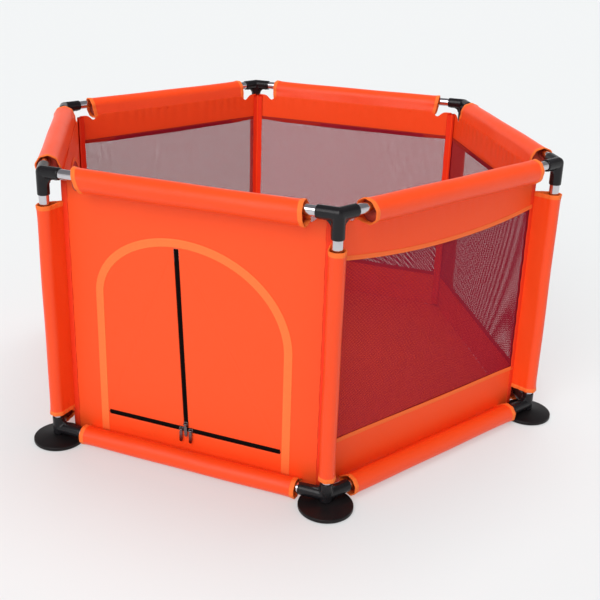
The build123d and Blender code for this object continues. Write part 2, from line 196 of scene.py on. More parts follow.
world = bpy.data.worlds.new("sky")
world.use_nodes = True
bpy.context.scene.world = world
tree = Tree(world.node_tree)
sky_height = tree.node("ShaderNodeSeparateXYZ", {0: tree.node(
    "ShaderNodeTexCoord", output=0)}, output=2)
sky = tree.node("ShaderNodeValToRGB", {0: sky_height}, {"stops": (
    (0.0, (1.1, 1.1, 1.1)), (0.10, (0.98, 0.98, 0.98)), (0.32, (0.95, 0.95, 0.95)),
    (0.42, (0.36, 0.36, 0.37)), (1.0, (0.34, 0.34, 0.36)))})
tree.node("ShaderNodeOutputWorld", {"Surface": tree.node(
    "ShaderNodeBackground", {"Color": sky, "Strength": 0.75})})

# ------------------------------------------------------------------ steel tubes
# Bright-plated steel tube, cut square. Twelve rails and six posts plug into the connectors;
# only short lengths show between a connector and the end of a sleeve.
CORNERS = {"front_right": -60, "right": 0, "back_right": 60,
           "back_left": 120, "left": 180, "front_left": 240}
SIDES = {"front": -90, "front_right": -30, "back_right": 30,
         "back": 90, "back_left": 150, "front_left": 210}
low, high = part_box("top_rails")
TUBE_R = (high.z - low.z) / 2
RAIL_Z = (high.z + low.z) / 2
low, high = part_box("bottom_rails")
BASE_Z = (high.z + low.z) / 2
CORNER_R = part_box("posts")[1].x - TUBE_R
RAIL_APOTHEM = CORNER_R * math.cos(math.radians(30))


def dress(node, finish):
    """Gives its finish to a CAD node that is shown as it is."""
    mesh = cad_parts[node].data
    mesh.materials.clear()
    mesh.materials.append(finish)


plating, tree = material("bright_plating")
place = tree.object_place()
haze = tree.noise(place, 60, 3)
finish_material(tree, tree.mix(haze, (0.52, 0.50, 0.53), (0.70, 0.68, 0.70)),
                0.05 + haze * 0.08, tree.bump(tree.noise(place, 900, 2), 0.00004), Metallic=1.0)
for node in ("top_rails", "bottom_rails", "posts"):
    dress(node, plating)


# ------------------------------------------------------------------ corner connectors
# Injection-moulded black plastic: three round sockets meet in a knuckle, and a curved web
# stiffens each angle between an arm and the upright. One moulding serves the six corners at
# the top and another the six at the foot.
SOCKET_R = 0.0135
WEB_HALF = 0.0046
CONNECTOR_VOXEL = 0.0013
TOP_ARM, TOP_POST = 0.044, 0.050         # reach of the sockets from the knuckle's middle
BASE_ARM, BASE_POST = 0.060, 0.030
BASE_COLLAR = BASE_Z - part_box("base_connector_right")[0].z


def round_bar(start, direction, length, radius, segments=40):
    """Rounded bar: a circle carried along a line, drawn in by a quarter round at both ends."""
    start, direction = np.array(start, float), np.array(direction, float)
    side = np.cross(direction, (0, 0, 1) if abs(direction[2]) < 0.9 else (1, 0, 0))
    side /= np.linalg.norm(side)
    other = np.cross(direction, side)
    edge = 0.0012
    profile = np.array([(0, 0), (0, radius - edge), (edge * 0.3, radius - edge * 0.3), (edge, radius),
                        (length - edge, radius), (length - edge * 0.3, radius - edge * 0.3),
                        (length, radius - edge), (length, 0)])
    around = np.linspace(0, 2 * math.pi, segments + 1)
    ring = np.cos(around)[:, None] * side + np.sin(around)[:, None] * other
    return (start + profile[:, 0, None, None] * direction
            + profile[:, 1, None, None] * ring[None])


def grid_mesh(name, patches, weld=1e-6, closed=False):
    """One mesh from grids of points. A patch is (points[rows, columns, 3], uv[rows, columns, 2])
    or points alone; a face joins each four neighbours, and points that meet are welded. A closed
    shape has its faces turned outwards."""
    points, uvs, quads, start = [], [], [], 0
    for patch in patches:
        grid, uv = patch if isinstance(patch, tuple) else (patch, None)
        rows, columns = grid.shape[:2]
        index = np.arange(rows * columns).reshape(rows, columns) + start
        quads.append(np.stack([index[:-1, :-1], index[:-1, 1:], index[1:, 1:], index[1:, :-1]],
                              -1).reshape(-1, 4))
        points.append(grid.reshape(-1, 3))
        uvs.append(np.zeros((rows * columns, 2)) if uv is None else uv.reshape(-1, 2))
        start += rows * columns
    points, uvs, quads = map(np.concatenate, (points, uvs, quads))
    mesh = bpy.data.meshes.new(name)
    mesh.from_pydata(points.tolist(), [], quads.tolist())
    layer = mesh.uv_layers.new(name="cloth")
    layer.uv.foreach_set("vector", uvs[quads.ravel()].astype(np.float32).ravel())
    if weld:
        made = bmesh.new()
        made.from_mesh(mesh)
        bmesh.ops.remove_doubles(made, verts=made.verts, dist=weld)
        bmesh.ops.dissolve_degenerate(made, edges=made.edges, dist=1e-7)
        if closed:
            bmesh.ops.recalc_face_normals(made, faces=made.faces)
        made.to_mesh(mesh)
        made.free()
    mesh.polygons.foreach_set("use_smooth", [True] * len(mesh.polygons))
    return mesh


def piece(name, mesh, finish, body="root", stands_for=()):
    """Puts a finished mesh in the scene on its body."""
    made = bpy.data.objects.new(name, mesh)
    bpy.context.scene.collection.objects.link(made)
    mesh.materials.append(finish)
    if body:
        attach(made, body)
    if stands_for:
        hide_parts(*stands_for)
    return made


def surface(name, patches, finish, body="root", stands_for=(), weld=1e-6,
            closed=False):
    """A piece whose mesh is made from grids of points."""
    return piece(name, grid_mesh(name, patches, weld, closed), finish, body, stands_for)


def plate(outline, normal, half):
    """Flat plate: an outline of points, filled as a fan on both faces and walled round."""
    outline = np.array(outline)
    middle, shift = outline.mean(0), np.array(normal) * half
    closed = np.concatenate([outline, outline[:1]])
    return np.stack([np.broadcast_to(middle - shift, closed.shape), closed - shift,
                     closed + shift, np.broadcast_to(middle + shift, closed.shape)])


def moulding(name, z, reach, riser, skirt):
    """Connector for the corner on +X: bars and webs joined by a voxel remesh, then eased."""
    centre = np.array((CORNER_R, 0, z))
    rise = np.array((0, 0, 1.0 if riser > 0 else -1.0))
    arms = [np.array((math.cos(a), math.sin(a), 0)) for a in map(math.radians, (120, -120))]
    patches = [round_bar(centre - arm * 0.004, arm, reach + 0.004, SOCKET_R) for arm in arms]
    patches.append(round_bar(centre - rise * skirt, rise, abs(riser) + skirt, SOCKET_R))
    side, end = SOCKET_R - 0.001, 0.003
    bow = np.linspace(0, 1, 25)
    for arm in arms:
        far, near = (reach - end, side), (side, abs(riser) - end)
        mid = tuple(side + 0.16 * (length - side) for length in (reach, abs(riser)))
        curve = [(1 - t) ** 2 * np.array(far) + 2 * t * (1 - t) * (2 * np.array(mid) - 0.5 * (
            np.array(far) + np.array(near))) + t * t * np.array(near) for t in bow]
        outline = [(0, 0), (reach - end, 0), *curve, (0, abs(riser) - end)]
        patches.append(plate([centre + arm * u + rise * v for u, v in outline],
                             np.cross(arm, rise), WEB_HALF))
    knuckle_turn, knuckle_rise = np.meshgrid(np.linspace(0, 2 * math.pi, 41),
                                             np.linspace(-math.pi / 2, math.pi / 2, 21))
    patches.append(centre + SOCKET_R * np.stack(
        [np.cos(knuckle_turn) * np.cos(knuckle_rise), np.sin(knuckle_turn) * np.cos(knuckle_rise),
         np.sin(knuckle_rise)], -1))
    made = bpy.data.objects.new(name, grid_mesh(name, patches, weld=0))
    bpy.context.scene.collection.objects.link(made)
    remesh = made.modifiers.new("join", "REMESH")
    remesh.mode, remesh.voxel_size = "VOXEL", CONNECTOR_VOXEL
    ease = made.modifiers.new("ease", "SMOOTH")
    ease.factor, ease.iterations = 0.5, 7
    mesh = bpy.data.meshes.new_from_object(made.evaluated_get(
        bpy.context.evaluated_depsgraph_get()))
    bpy.data.objects.remove(made)
    mesh.polygons.foreach_set("use_smooth", [True] * len(mesh.polygons))
    return mesh


black_plastic, tree = material("black_moulded_plastic")
place = tree.object_place()
cloudy = tree.noise(place, 35, 3)
finish_material(tree, tree.mix(cloudy, (0.006, 0.005, 0.006), (0.012, 0.011, 0.013)),
                0.18 + cloudy * 0.12, tree.bump(tree.noise(place, 1400, 2), 0.00006),
                Specular_IOR_Level=0.28)
for kind, z, reach, riser, skirt in (
        ("top", RAIL_Z, TOP_ARM, -TOP_POST, 0.0),
        ("base", BASE_Z, BASE_ARM, BASE_POST, BASE_COLLAR)):
    moulded = moulding(f"{kind}_moulding", z, reach, riser, skirt)
    for corner, angle in CORNERS.items():
        turned = moulded.copy()
        turned.transform(Matrix.Rotation(math.radians(angle), 4, "Z"))
        piece(f"{kind}_corner_{corner}", turned, black_plastic,
              stands_for=(f"{kind}_connector_{corner}",))

# ------------------------------------------------------------------ suction feet
# Black rubber cups with a low cone and an upright rim; a peg pushes up into the connector.
rubber, tree = material("foot_rubber")
place = tree.object_place()
bloom = tree.noise(place, 45, 4)
finish_material(tree, tree.mix(bloom, (0.006, 0.005, 0.006), (0.014, 0.012, 0.012)),
                0.30 + bloom * 0.20, tree.bump(tree.noise(place, 1100, 2), 0.00008),
                Specular_IOR_Level=0.18)
for corner in CORNERS:
    dress(f"suction_foot_{corner}", rubber)


# ------------------------------------------------------------------ foam liners
# Tubes of closed-cell foam slipped over the rails inside their sleeves. The rail lies high
# and a little outside in them, because the padding's own weight hangs from it.
def on_side(angle, along, out, z):
    """Points beside one wall: along it, out from the middle of the hexagon, and up."""
    a = math.radians(angle)
    along, out, z = np.broadcast_arrays(along, out, z)
    return np.stack([out * math.cos(a) - along * math.sin(a),
                     out * math.sin(a) + along * math.cos(a), z], -1)


# The foam's dark red colour is painted shade: it stands in for the dark insides of the sleeve ends.
foam_painted_shade, tree = material("red_foam_painted_shade")
place = tree.object_place()
cells = tree.node("ShaderNodeTexVoronoi", {"Vector": place, "Scale": 450.0})
finish_material(tree, tree.mix(cells, (0.30, 0.025, 0.012), (0.45, 0.05, 0.025)), 0.85,
                tree.bump(cells, 0.0004))
LINER_GAP = 0.0012             # slack between the foam and its sleeve
LINER_RECESS = 0.014           # the foam ends this far inside the sleeve
PADDING = {}
for level_name, rail_z, sleeve_start in (("top", RAIL_Z, 0.070), ("bottom", BASE_Z, 0.066)):
    low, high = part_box(f"{level_name}_sleeves")
    radius = (high.z - low.z) / 2
    PADDING[level_name] = dict(rail_z=rail_z, radius=radius, z=(high.z + low.z) / 2,
                               out=high.y - radius, half=CORNER_R / 2 - sleeve_start)


def liner(angle, padding):
    """Foam tube along a wall: a big circle one way, over the end, and the bore back."""
    turn = np.linspace(0, 2 * math.pi, 41)
    half = padding["half"] - LINER_RECESS
    radius = padding["radius"] - 2 * LINER_GAP
    along = np.linspace(-half, half, 30)[:, None]
    swell = radius * (1 + 0.012 * np.sin(along * 31 + angle))
    skin = on_side(angle, along, padding["out"] + swell * np.cos(turn),
                   padding["z"] - swell * np.sin(turn))
    bore_r = TUBE_R + 0.0004
    bore = on_side(angle, along[::-1], RAIL_APOTHEM + bore_r * np.cos(turn),
                   padding["rail_z"] - bore_r * np.sin(turn))
    return np.concatenate([skin, bore, skin[:1]])


for level_name, padding in PADDING.items():
    liners = surface(f"{level_name}_foam_liners", [liner(angle, padding) for angle in
                                                   SIDES.values()],
                     foam_painted_shade, stands_for=(f"{level_name}_foam",), closed=True)


# ------------------------------------------------------------------ rail sleeves
# Coated polyester, a strip wrapped round the foam with both edges sewn to the wall behind it,
# so each sleeve is a drop in section. Bias tape binds its two ends.
def woven(name, colour, shade, roughness, pitch=0.0011, depth=0.00012):
    """Plain-woven coated cloth: threads cross along the piece's own UV map, in metres."""
    made, tree = material(name)
    warp, weft = ((part * (2 * math.pi / pitch)).sine() * 0.5 + 0.5
                  for part in tree.along_across())
    place = tree.object_place()
    broad = tree.noise(place, 5.0, 3)
    fine = tree.noise(place, 90.0, 3)
    threads = warp.above(weft)
    base = tree.mix(broad * 0.55 + fine * 0.25 + threads * 0.12, shade, colour)
    crease = tree.bump(tree.noise(place, 14.0, 2), 0.0035, 0.5)
    weave = tree.node("ShaderNodeBump", {"Strength": 0.6, "Distance": depth, "Height": threads,
                                         "Normal": crease})
    finish_material(tree, base, roughness + fine * 0.12, weave, Specular_IOR_Level=0.35)
    return made


def stitched(name, colour, shade, rows, pitch=0.0034):
    """Woven tape with sewn rows at distances across it, each a line of dashes along it."""
    made, tree = material(name)
    along, across = tree.along_across()
    ribs = (along * (2 * math.pi / 0.0012) + across * 3000.0).sine() * 0.5 + 0.5
    dash = (along / pitch).part() < 0.72
    thread = sum(((across - row).size() < 0.00045) * dash for row in rows)
    grain = tree.noise(tree.object_place(), 120.0, 3)
    base = tree.mix(thread * 0.5, tree.mix(grain * 0.6 + ribs * 0.25, shade, colour),
                    tuple(min(1.0, c * 1.2 + 0.01) for c in colour))
    finish_material(tree, base, 0.5 + grain * 0.15, tree.bump(ribs * 0.25 + thread, 0.0002, 0.6),
                    Specular_IOR_Level=0.22)
    return made


ORANGE, ORANGE_SHADE = (0.98, 0.083, 0.0102), (0.90, 0.062, 0.0075)
sleeve_cloth = woven("sleeve_cloth", ORANGE, ORANGE_SHADE, 0.30)
hem_tape = stitched("hem_tape", (0.98, 0.20, 0.035), (0.92, 0.16, 0.026), rows=(0.0078,))


def run_along(line):
    """How far along a line each of its points lies, from its start."""
    return np.concatenate([[0], np.cumsum(np.linalg.norm(np.diff(line, axis=0), axis=1))])


def drop_section(radius, tail, tail_radius, count):
    """Drop outline: the hull of a round of cloth and its small sewn tail, as points spread
    evenly along it from the tail's tip, with each point's outward direction."""
    reach, heading = math.hypot(*tail), math.atan2(tail[1], tail[0])
    opening = math.acos((radius - tail_radius) / reach)
    turns = np.concatenate([np.linspace(0, opening, 8),
                            np.linspace(opening, 2 * math.pi - opening, 160),
                            np.linspace(2 * math.pi - opening, 2 * math.pi, 8)]) + heading
    normals = np.stack([np.cos(turns), np.sin(turns)], 1)
    line = normals * radius
    line[:8] = np.array(tail) + normals[:8] * tail_radius
    line[-8:] = np.array(tail) + normals[-8:] * tail_radius
    run = run_along(line)
    even = np.linspace(0, run[-1], count)
    return (np.stack([np.interp(even, run, line[:, k]) for k in (0, 1)], 1),
            np.stack([np.interp(even, run, normals[:, k]) for k in (0, 1)], 1), even)


def puckers(along, round_share, half, phase):
    """How far sewn cloth stands out: pulled ripples that die away from the ends and the seam,
    on a slow swell along the whole length."""
    from_end = half - np.abs(along)
    from_seam = np.minimum(round_share, 1 - round_share)
    ripple = np.exp(-from_end / 0.020) * np.sin(round_share * 2 * math.pi * 9 + phase)
    gather = np.exp(-from_seam / 0.055) * np.sin(along * 265 + 2.2 * np.sin(along * 41 + phase))
    swell = np.sin(along * 19 + phase) * np.cos(round_share * 4 * math.pi + along * 6)
    return 0.0006 * ripple + 0.0006 * gather + 0.0006 * swell


def slanted(along, share, half, slants):
    """Shifts points along a sleeve whose ends are cut on a slant: each end is shorter by its
    slant at the lower outer side, by a raised cosine of the place round the section."""
    low_side = 0.5 + 0.5 * np.cos(2 * math.pi * (share - 0.25))
    from_left = np.clip((along + half) / (2 * half), 0, 1)
    return along + low_side * (slants[0] * (1 - from_left) - slants[1] * from_left)


def flare(along, half):
    """The sleeve is a little wider at its ends, where the hem keeps the cloth open."""
    return 0.0016 * np.exp(-(half - np.abs(along)) / 0.010)


def sleeve_grid(section, half, phase, at, slants=(0.0, 0.0), rows=110):
    """Cloth carried along a rail or post: at() turns distance, section x and section y into
    points, and puckers push each one out along its section's outward direction."""
    line, normals, run = section
    along = np.linspace(-half, half, rows)[:, None]
    share = run / run[-1]
    push = puckers(along, share, half, phase) + flare(along, half)
    points = at(slanted(along, share, half, slants), line[:, 0] + normals[:, 0] * push,
                line[:, 1] + normals[:, 1] * push)
    uv = np.stack(np.broadcast_arrays(along, run[None, :]), -1)
    return points, uv


def hem_grid(section, half, phase, at, end, slants=(0.0, 0.0), width=0.0095, thick=0.0016):
    """Bias tape folded over a sleeve's end: a flat rounded loop in section, carried round."""
    line, normals, run = section
    inner, edge = half - width, half + 0.0008
    loop = [(inner, -0.0001), (inner + 0.0002, thick * 0.55), (inner + 0.001, thick * 0.7),
            (edge - 0.001, thick * 0.7), (edge, thick * 0.3), (edge + 0.0003, -0.0006),
            (edge, -0.0016), (edge - 0.001, -0.0021), (inner + 0.001, -0.0021),
            (inner + 0.0002, -0.0017), (inner, -0.0001)]
    along = np.array([x for x, _ in loop])[:, None] * end
    lift = np.array([y for _, y in loop])[:, None]
    reach = np.clip(np.abs(along), 0, half) * end
    share = run / run[-1]
    push = puckers(reach, share, half, phase) + lift + flare(reach, half)
    points = at(slanted(along, share, half, slants), line[:, 0] + normals[:, 0] * push,
                line[:, 1] + normals[:, 1] * push)
    uv = np.stack(np.broadcast_arrays(run[None, :], np.abs(along - edge * end)), -1)
    return (points[::-1], uv[::-1]) if end < 0 else (points, uv)


CLOTH_T = 0.0009


def cloth(name, patches, finish, stands_for, body="root", weld=1e-6):
    """Sheet of the bag's cloth, with its thickness behind the drawn face and its rim kept out
    of the shading."""
    made = surface(name, patches, finish, body, stands_for, weld)
    wall = made.modifiers.new("thickness", "SOLIDIFY")
    wall.thickness, wall.offset = CLOTH_T, -1.0
    shading = made.modifiers.new("shading", "WEIGHTED_NORMAL")
    shading.mode, shading.weight = "FACE_AREA", 100
    return made


low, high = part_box("door_panel")
BAG_APOTHEM = -low.y
WALL_LOW, WALL_HIGH = low.z, high.z
WALL_HALF = high.x
SEAMS = {"top": WALL_HIGH - 0.007, "bottom": WALL_LOW + 0.010}
SLANTS = {"top": dict.fromkeys(SIDES, (0.008, 0.008)), "bottom": dict.fromkeys(SIDES, (0.0, 0.0))}
SLANTS["top"]["front"] = (0.024, -0.006)   # this sleeve sits twisted on its rail
for level_name, padding in PADDING.items():
    seam = (BAG_APOTHEM + 0.0025 - padding["out"], SEAMS[level_name] - padding["z"])
    section = drop_section(padding["radius"] - 0.0008, seam, 0.0013, 73)
    hems = []
    for number, (side, angle) in enumerate(SIDES.items()):
        at = (lambda along, x, y, angle=angle, padding=padding:
              on_side(angle, along, padding["out"] + x, padding["z"] + y))
        slants = SLANTS[level_name][side]
        grid = sleeve_grid(section, padding["half"], number * 1.7, at, slants)
        sleeve = cloth(f"{level_name}_sleeve_{side}", [grid], sleeve_cloth,
                       (f"{level_name}_sleeves",))
        hems += [hem_grid(section, padding["half"], number * 1.7, at, end, slants)
                 for end in (-1, 1)]
        2 * padding["half"]
    surface(f"{level_name}_hems", hems, hem_tape, closed=True)

# ------------------------------------------------------------------ post sleeves
# A strip of the same cloth folded round each bare post and sewn to itself in a flat flap,
# whose edge is caught in the corner seam of the bag.
def by_corner(angle, radius, aside, up):
    """Points by a corner: out from the middle of the hexagon, round to the left, and up."""
    a = math.radians(angle)
    radius, aside, up = np.broadcast_arrays(radius, aside, up)
    return np.stack([radius * math.cos(a) - aside * math.sin(a),
                     radius * math.sin(a) + aside * math.cos(a), up], -1)


low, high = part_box("post_sleeves")
POST_MIDDLE, POST_HALF = (high.z + low.z) / 2, (high.z - low.z) / 2
POST_R = high.x - CORNER_R
BAG_CORNER_R = BAG_APOTHEM / math.cos(math.radians(30))
section = drop_section(POST_R - 0.0006, (BAG_CORNER_R - 0.0012 - CORNER_R, 0), 0.0011, 61)
hems = []
for number, (corner, angle) in enumerate(CORNERS.items()):
    at = (lambda along, x, y, angle=angle:
          by_corner(angle, x + CORNER_R, y, along + POST_MIDDLE))
    points, uv = sleeve_grid(section, POST_HALF, number * 2.3 + 1, at)
    sleeve = cloth(f"post_sleeve_{corner}", [(points[::-1], uv[::-1])], sleeve_cloth,
                   ("post_sleeves",))
    for end in (-1, 1):
        points, uv = hem_grid(section, POST_HALF, number * 2.3 + 1, at, end)
        hems.append((points[::-1], uv[::-1]))
surface("post_hems", hems, hem_tape, closed=True)

# ------------------------------------------------------------------ bag walls
# Flat panels of the same cloth hang between the sleeves. Two are closed, the door wall and
# the one with an arched window; the other four are a band at the top and one at the foot.
wall_cloth = woven("wall_cloth", ORANGE, (0.92, 0.084, 0.010), 0.45)
NET_SIDES = ("front_right", "back_right", "back", "back_left")
BAND_EDGES = dict.fromkeys(NET_SIDES, (0.539, 0.534))    # at the corners and at mid side
BAND_EDGES["front_right"] = (0.528, 0.508)
BAND_BULGES = dict.fromkeys(NET_SIDES, 0.003)            # how far each stands out at its edge
BAND_BULGES["front_right"] = 0.008
FOOT_BAND_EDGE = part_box("bottom_band_back")[1].z


def band_edge(side, x):
    """Lower edge of a top band: a shallow parabola that hangs lowest at mid side."""
    at_corner, middle = BAND_EDGES[side]
    return middle + (at_corner - middle) * (x / WALL_HALF) ** 2


def billow(x, z, phase, soft=1.0):
    """How far a wall's cloth stands out of its plane: short gathers below the top seam and
    above the bottom one, and a slow swell between, nothing at all for a soft of 0."""
    below_top, above_foot = (WALL_HIGH - z), (z - WALL_LOW)
    gather = (np.exp(-below_top / 0.030) + 0.6 * np.exp(-above_foot / 0.020)) * np.sin(
        x * 210 + 2.5 * np.sin(x * 23 + phase))
    swell = np.sin(x * 13 + phase) * np.sin(z * 9 + phase)
    from_corner = np.clip((WALL_HALF - 0.010 - np.abs(x)) / 0.040, 0, 1)
    return soft * from_corner * (0.0009 * gather + 0.0011 * swell)


def wall_top(x):
    """Top edge of a wall: level, but for a dip just past each end of the sleeve."""
    return WALL_HIGH - 0.014 * np.exp(-((np.abs(x) - PADDING["top"]["half"] - 0.003) / 0.012) ** 2)


def wall_points(side, x, z, out=0.0, soft=1.0, bulge=0.0):
    """Points on a wall's outer face, out by a distance, with its billow, and with a bulge
    that grows from the top edge downwards and dies away towards the corners."""
    angle = SIDES[side]
    below_top = np.clip((WALL_HIGH - z) / 0.085, 0, 1.2) ** 1.3
    out = out + bulge * below_top * (1 - (x / WALL_HALF) ** 2)
    return on_side(angle, x, BAG_APOTHEM + out + billow(x, z, angle * 0.7, soft), z)


def wall_grid(side, x, z, out=0.0, soft=1.0, bulge=0.0):
    """Grid of a wall's points facing outwards, with a UV map in metres along and up it."""
    x, z = np.broadcast_arrays(x, z)
    turned = np.sum((x[:-1, 1:] - x[:-1, :-1]) * (z[1:, :-1] - z[:-1, :-1])
                    - (z[:-1, 1:] - z[:-1, :-1]) * (x[1:, :-1] - x[:-1, :-1])) < 0
    if turned:
        x, z = x[:, ::-1], z[:, ::-1]
    return wall_points(side, x, z, out, soft, bulge), np.stack([x, z], -1)


def between(first, last, steps):
    """Rows of points from one line to another, each line an array of (x, z)."""
    share = np.linspace(0, 1, steps)[:, None, None]
    rows = np.array(first) * (1 - share) + np.array(last) * share
    return rows[..., 0], rows[..., 1]


def stretch_of(start, end, count):
    """Points spaced evenly along a straight line."""
    return np.linspace(start, end, count)


HIGH_LINE = WALL_HIGH - 0.030  # the panel's cut-outs all end below this line


def top_strip(side, count, soft=1.0):
    """Patch between the high line and the wall's top edge."""
    x, share = np.linspace(WALL_HALF, -WALL_HALF, count), np.linspace(0, 1, 6)[:, None]
    return wall_grid(side, x, HIGH_LINE * (1 - share) + wall_top(x) * share, soft=soft)


columns = np.linspace(-WALL_HALF, WALL_HALF, 121)[None, :]
for side in NET_SIDES:
    share = np.linspace(0, 1, 20)[:, None]
    z = band_edge(side, columns) * (1 - share) + wall_top(columns) * share
    top = cloth(f"top_band_cloth_{side}", [wall_grid(side, columns, z, bulge=BAND_BULGES[side])],
                wall_cloth, (f"top_band_{side}",))
    at_corner, middle = BAND_EDGES[side]
    WALL_HIGH - middle
    2 * WALL_HALF * (WALL_HIGH - middle - (at_corner - middle) / 3)
    z = WALL_LOW + (FOOT_BAND_EDGE - WALL_LOW) * share + 0 * columns
    foot = cloth(f"bottom_band_cloth_{side}", [wall_grid(side, columns, z)], wall_cloth,
                 (f"bottom_band_{side}",))

# The arch is two quarter ellipses that share an apex left of the middle, on upright sides.
ARCH_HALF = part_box("arch_trim")[1].x
ARCH_APEX = (-0.027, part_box("arch_trim")[1].z)
ARCH_SPRINGS = (0.372, 0.307)  # where the left and right sides start to curve
ARCH_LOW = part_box("arch_trim")[0].z
WINDOW_LOW = FOOT_BAND_EDGE
WINDOW_GROW = 0.032            # the window's arch runs this far outside the door's


def arch_curve(grow, steps=60):
    """The arch from its right spring over the apex to its left spring, grown outwards."""
    half, (apex_x, apex_z) = ARCH_HALF + grow, (ARCH_APEX[0], ARCH_APEX[1] + grow)
    left, right = ARCH_SPRINGS
    turn = np.linspace(0, math.pi / 2, steps)
    right_part = np.stack([apex_x + (half - apex_x) * np.cos(turn),
                           right + (apex_z - right) * np.sin(turn)], 1)
    left_part = np.stack([apex_x - (half + apex_x) * np.sin(turn),
                          left + (apex_z - left) * np.cos(turn)], 1)
    return np.concatenate([right_part, left_part[1:]])


arch = arch_curve(WINDOW_GROW)
hole = ARCH_HALF + WINDOW_GROW
corners = {"foot_left": (-WALL_HALF, WALL_LOW), "foot_right": (WALL_HALF, WALL_LOW),
           "top_right": (WALL_HALF, HIGH_LINE), "top_left": (-WALL_HALF, HIGH_LINE)}
rings = [(stretch_of((-hole, WINDOW_LOW), (hole, WINDOW_LOW), 60),
          stretch_of(corners["foot_left"], corners["foot_right"], 60)),
         (stretch_of((hole, WINDOW_LOW), arch[0], 30),
          stretch_of(corners["foot_right"], corners["top_right"], 30)),
         (arch, stretch_of(corners["top_right"], corners["top_left"], len(arch))),
         (stretch_of(arch[-1], (-hole, WINDOW_LOW), 30),
          stretch_of(corners["top_left"], corners["foot_left"], 30))]
window_wall = cloth("window_wall_cloth", [
    wall_grid("front_left", *between(inner, outer, 14)) for inner, outer in rings]
    + [top_strip("front_left", len(arch))], wall_cloth, ("arch_window_panel",))

# ------------------------------------------------------------------ door
# Two three-cornered flaps are cut out of the front wall along the zips and stay joined to it
# along their outer edges, where they fold back; here they are drawn closed, flat in the wall.
# The wall round them is one panel.
ZIP_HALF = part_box("door_flap_right")[1].x
FLAP_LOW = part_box("door_flap_right")[0].z
FLAP_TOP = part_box("door_flap_right")[1].z
ZIP_GAP_HALF = 0.006           # the cloth stops this far from a zip's middle line
ZIP_Z = FLAP_LOW - ZIP_GAP_HALF
ZIP_TOP_X, ZIP_FOOT_X = -0.033, -0.014
sill = ZIP_Z - ZIP_GAP_HALF


def zip_x(z):
    """The upright zip leans: its middle line at a height."""
    return ZIP_FOOT_X + (z - ZIP_Z) / (FLAP_TOP - ZIP_Z) * (ZIP_TOP_X - ZIP_FOOT_X)


opening = [(-ZIP_HALF, sill), (ZIP_HALF, sill), (ZIP_HALF, FLAP_LOW),
           (ZIP_TOP_X + ZIP_GAP_HALF, FLAP_TOP), (ZIP_TOP_X - ZIP_GAP_HALF, FLAP_TOP),
           (-ZIP_HALF, FLAP_LOW)]
frame_corners = [corners["foot_left"], corners["foot_right"], (WALL_HALF, FLAP_LOW),
                 corners["top_right"], corners["top_left"], (-WALL_HALF, FLAP_LOW)]
steps = (70, 6, 70, 119, 70, 6)
rings = [(stretch_of(opening[k], opening[(k + 1) % 6], steps[k]),
          stretch_of(frame_corners[k], frame_corners[(k + 1) % 6], steps[k])) for k in range(6)]
DOOR_SOFT = 0.0                # the door wall is drawn tight, with no billow
door_wall = cloth("door_wall_cloth", [
    wall_grid("front", *between(inner, outer, 14), soft=DOOR_SOFT) for inner, outer in rings]
    + [top_strip("front", steps[3], DOOR_SOFT)], wall_cloth, ("door_panel",))
FOLD_ROLL = 0.009              # width of cloth that rolls over when a flap folds; here it only sets a fold line that nothing uses
for name, sign in (("left", -1), ("right", 1)):
    foot = np.array((sign * ZIP_HALF, FLAP_LOW))
    tip = np.array((ZIP_TOP_X + sign * ZIP_GAP_HALF, FLAP_TOP))
    inner_foot = np.array((zip_x(FLAP_LOW) + sign * ZIP_GAP_HALF, FLAP_LOW))
    x, z = between(stretch_of(foot, tip, 60), stretch_of(inner_foot, tip, 60), 45)
    inward = np.array((-(tip - foot)[1], (tip - foot)[0])) * (1 if sign > 0 else -1)
    inward = inward / np.linalg.norm(inward)
    start, end = foot, foot + inward * FOLD_ROLL
    [on_side(SIDES["front"], p[0], BAG_APOTHEM, p[1]).tolist()
                        for p in (start, end)]
    flap = cloth(f"door_flap_cloth_{name}", [wall_grid("front", x, z, soft=DOOR_SOFT)],
                 wall_cloth, (f"door_flap_{name}",), body=None)
    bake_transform(flap)


# ------------------------------------------------------------------ nets
# Knitted polyester net, dark and open, sewn behind the bands and behind the arched window.
def knitted_net(name, pitch=0.0034, open_share=0.245):
    """Net of small rounded holes in staggered rows: alpha is 0 inside each hole."""
    made, tree = material(name)
    row_step = 0.866           # from row to row, as a share of the pitch
    along, up = tree.along_across()
    along, up = along / pitch, up / (pitch * row_step)
    shift = ((up * 0.5).part() < 0.5) * 0.5
    x = (along + shift).part() - 0.5
    y = up.part() - 0.5
    from_hole = (x * x + y * y * 0.8) ** 0.5
    thread = from_hole > math.sqrt(open_share * row_step / math.pi)
    grain = tree.noise(tree.object_place(), 60.0, 3)
    finish_material(tree, tree.mix(grain, (0.235, 0.008, 0.022), (0.285, 0.014, 0.038)), 0.65,
                    alpha=thread, Specular_IOR_Level=0.08)
    return made


net_knit = knitted_net("knitted_net")
NET_OUT = -0.0021              # behind the cloth
NET_SOFT = 0.15                # the nets are pulled flatter than the cloth
NET_OVERLAP = 0.008
NET_HIGH = 0.548               # hidden behind the top bands
rows = np.linspace(0, 1, 50)[:, None]
for side in NET_SIDES:
    z = (FOOT_BAND_EDGE - NET_OVERLAP) * (1 - rows) + NET_HIGH * rows
    z = z + 0 * columns
    net = surface(f"net_{side}", [wall_grid(side, columns, z, NET_OUT, NET_SOFT)], net_knit,
                  stands_for=(f"net_window_{side}",))
arch = arch_curve(WINDOW_GROW + NET_OVERLAP)
sill_line = np.stack([arch[:, 0], np.full(len(arch), WINDOW_LOW - NET_OVERLAP)], 1)
net = surface("net_front_left", [
    wall_grid("front_left", *between(sill_line, arch, 40), NET_OUT, NET_SOFT)], net_knit,
    stands_for=("net_window_front_left",))
